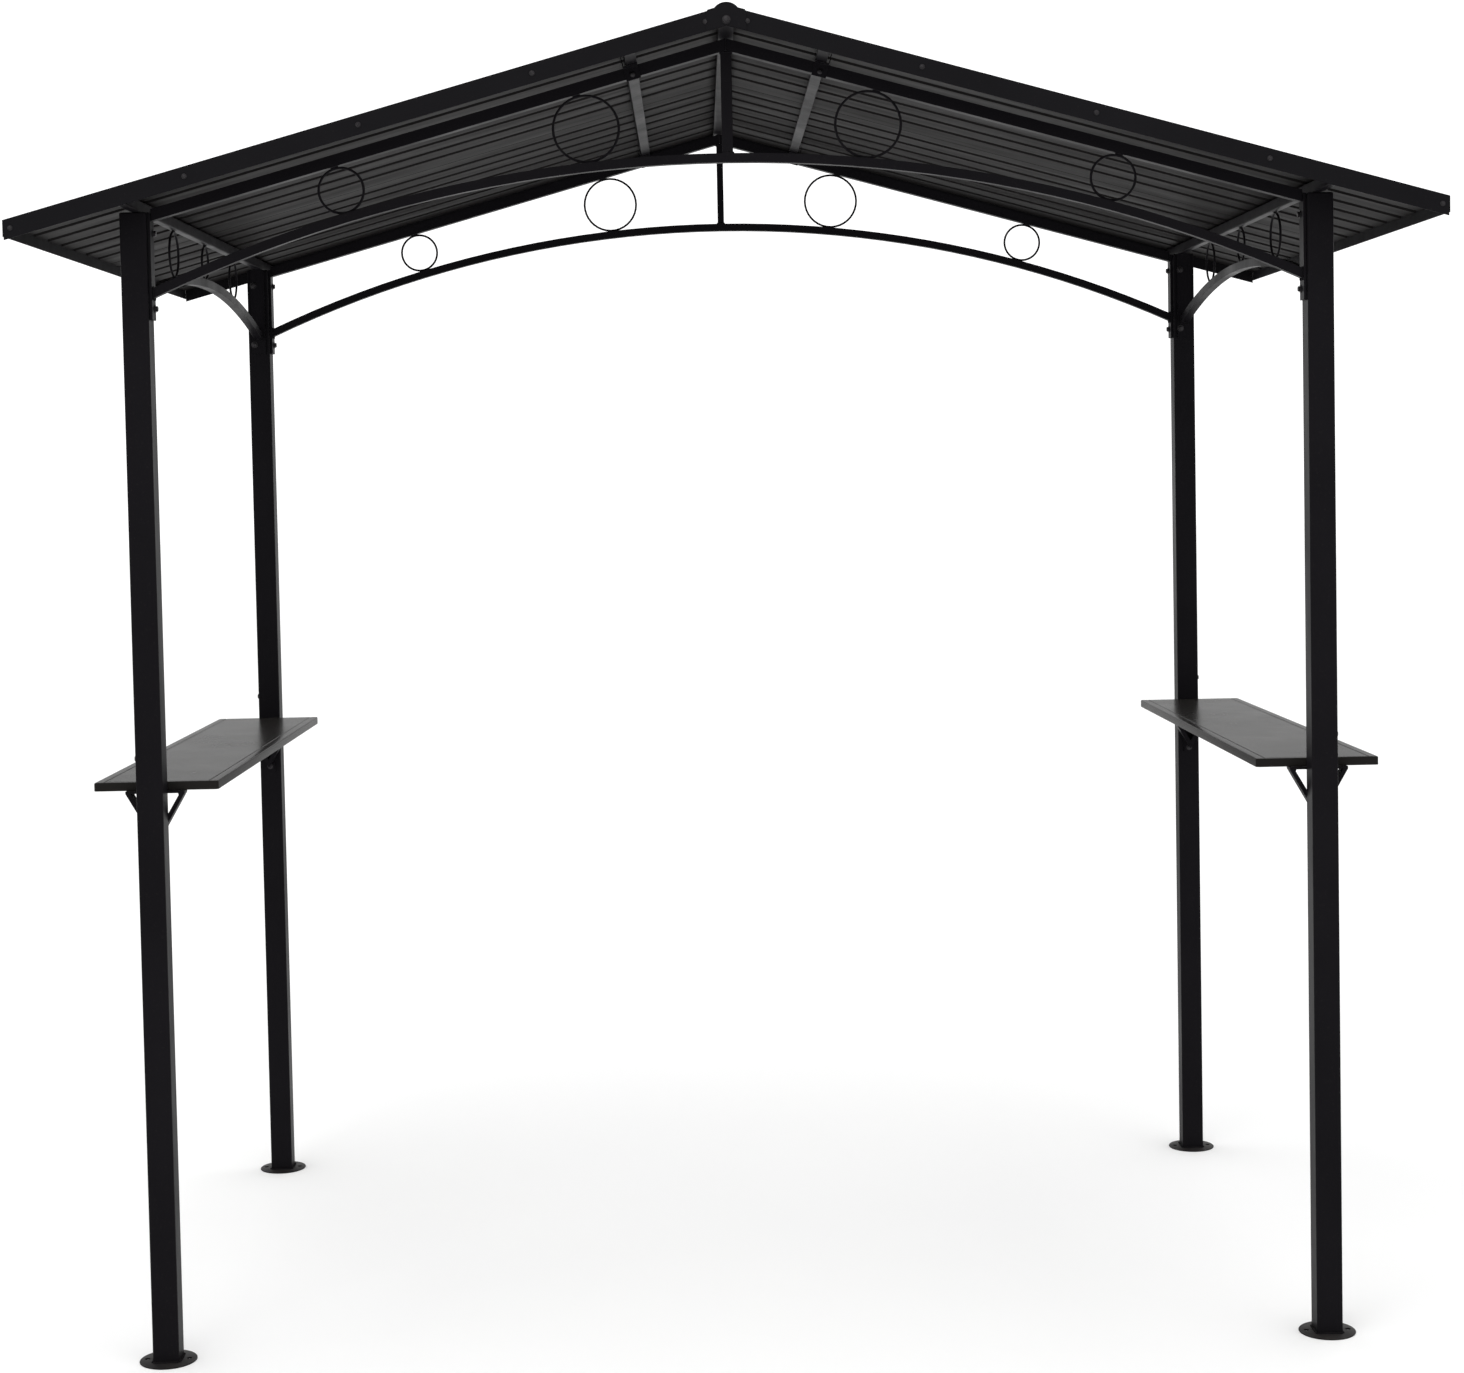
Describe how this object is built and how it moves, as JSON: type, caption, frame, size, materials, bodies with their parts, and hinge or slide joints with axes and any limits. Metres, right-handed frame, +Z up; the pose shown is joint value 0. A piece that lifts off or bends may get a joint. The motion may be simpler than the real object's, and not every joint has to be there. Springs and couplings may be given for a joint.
{
  "type": "grill gazebo",
  "caption": "Open steel grill gazebo with square posts, arched gable trusses trimmed with rings, a low ribbed sheet roof and a side shelf between the posts at each end.",
  "frame": {"origin": "on the ground in the middle of the four posts, at the bottom centre of the whole object", "axes": "+Z up; +X along the wide side, to the right as seen from the open front; the front faces -Y"},
  "size_m": [2.44, 1.53, 2.3367],
  "materials": {
    "frame": "charcoal black powder coat, satin",
    "trim": "charcoal black powder coat on folded sheet, satin",
    "roof_sheet": "dark grey-brown coated ribbed sheet, satin",
    "shelf_sheet": "charcoal grey powder coat on pressed sheet, satin"
  },
  "bodies": {
    "root": {"front_left_post": "frame", "front_left_foot_plate": "frame", "front_left_rafter": "frame", "front_left_shelf_bracket": "frame", "front_left_gable_fascia": "trim", "front_left_roof_panel": "roof_sheet", "front_right_post": "frame", "front_right_foot_plate": "frame", "front_right_rafter": "frame", "front_right_shelf_bracket": "frame", "front_right_gable_fascia": "trim", "front_right_roof_panel": "roof_sheet", "front_truss_arch": "frame", "front_king_post": "frame", "rear_left_post": "frame", "rear_left_foot_plate": "frame", "rear_left_rafter": "frame", "rear_left_shelf_bracket": "frame", "rear_left_gable_fascia": "trim", "rear_left_roof_panel": "roof_sheet", "rear_right_post": "frame", "rear_right_foot_plate": "frame", "rear_right_rafter": "frame", "rear_right_shelf_bracket": "frame", "rear_right_gable_fascia": "trim", "rear_right_roof_panel": "roof_sheet", "rear_truss_arch": "frame", "rear_king_post": "frame", "left_side_arch": "frame", "left_side_beam": "frame", "left_purlin": "frame", "left_eave_trim": "trim", "left_shelf": "shelf_sheet", "right_side_arch": "frame", "right_side_beam": "frame", "right_purlin": "frame", "right_eave_trim": "trim", "right_shelf": "shelf_sheet", "ridge_beam": "frame", "ridge_cap": "trim"}
  },
  "joints": []
}
